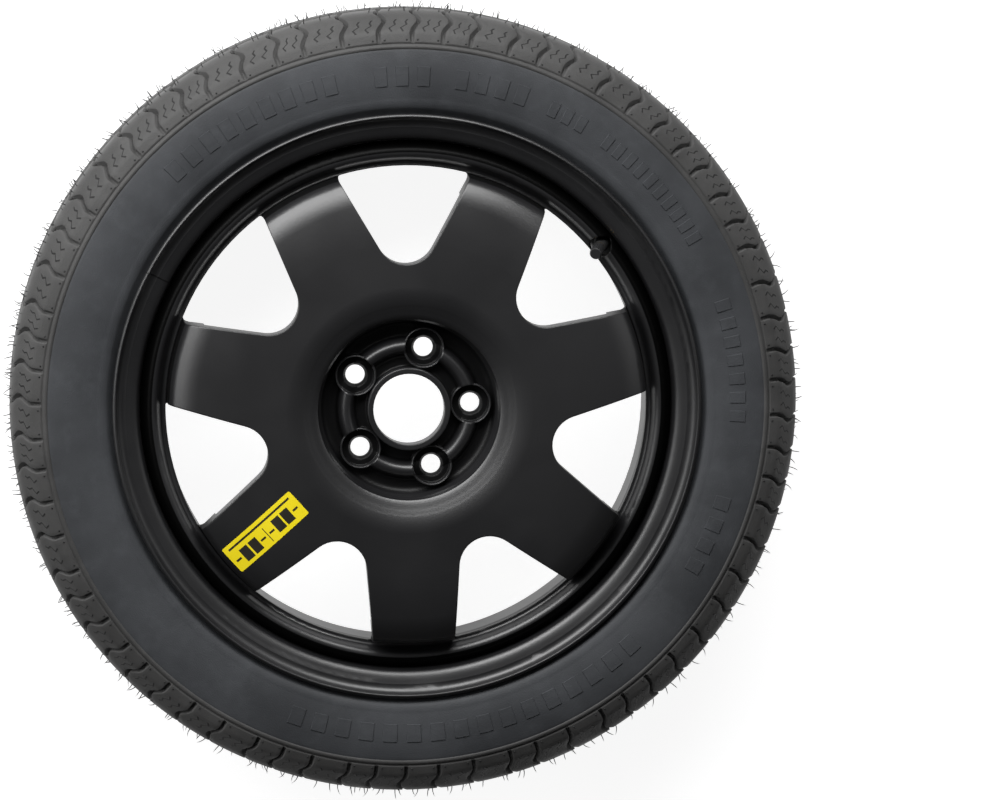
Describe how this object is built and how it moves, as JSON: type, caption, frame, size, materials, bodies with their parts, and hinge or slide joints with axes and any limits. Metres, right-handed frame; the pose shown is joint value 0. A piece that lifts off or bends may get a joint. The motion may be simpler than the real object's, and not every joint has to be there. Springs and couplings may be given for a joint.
{
  "type": "spare wheel",
  "caption": "Narrow temporary-use spare wheel: pressed steel disc with spokes and windows in a rolled rim, thin tyre, snap-in valve and a plain yellow sticker.",
  "frame": {"origin": "centre of the hub bore on the mounting face at the back of the disc", "axes": "+Z along the wheel's axis out of the car, +X towards the valve"},
  "size_m": [0.637, 0.637, 0.1328],
  "materials": {
    "tyre_rubber": "matte",
    "black_paint": "satin",
    "valve_rubber": "matte",
    "brass": "satin",
    "spring_steel": "satin",
    "cap_plastic": "satin",
    "yellow_vinyl": "satin"
  },
  "bodies": {
    "wheel": {"rim": "black_paint", "wheel_disc": "black_paint", "weld_beads": "black_paint", "tyre": "tyre_rubber", "valve_body": "valve_rubber", "valve_stem": "brass", "valve_core_body": "brass", "valve_core_seal": "valve_rubber", "valve_spring": "spring_steel", "sticker": "yellow_vinyl"},
    "pin": {"valve_pin": "brass", "valve_pin_seal": "valve_rubber"},
    "cap": {"valve_cap": "cap_plastic", "valve_cap_seal": "valve_rubber"}
  },
  "joints": [
    {"name": "pin_press", "type": "slide", "parent": "wheel", "child": "pin", "axis": [0.4226, 0, -0.9063], "range_m": [0, 0.0015], "stiffness_N_per_m": 1000, "springref_m": -0.002, "deforming": ["valve_spring"]},
    {"name": "cap_pull", "type": "slide", "parent": "wheel", "child": "cap", "axis": [-0.4226, 0, 0.9063], "range_m": [0, 0.0125]}
  ]
}
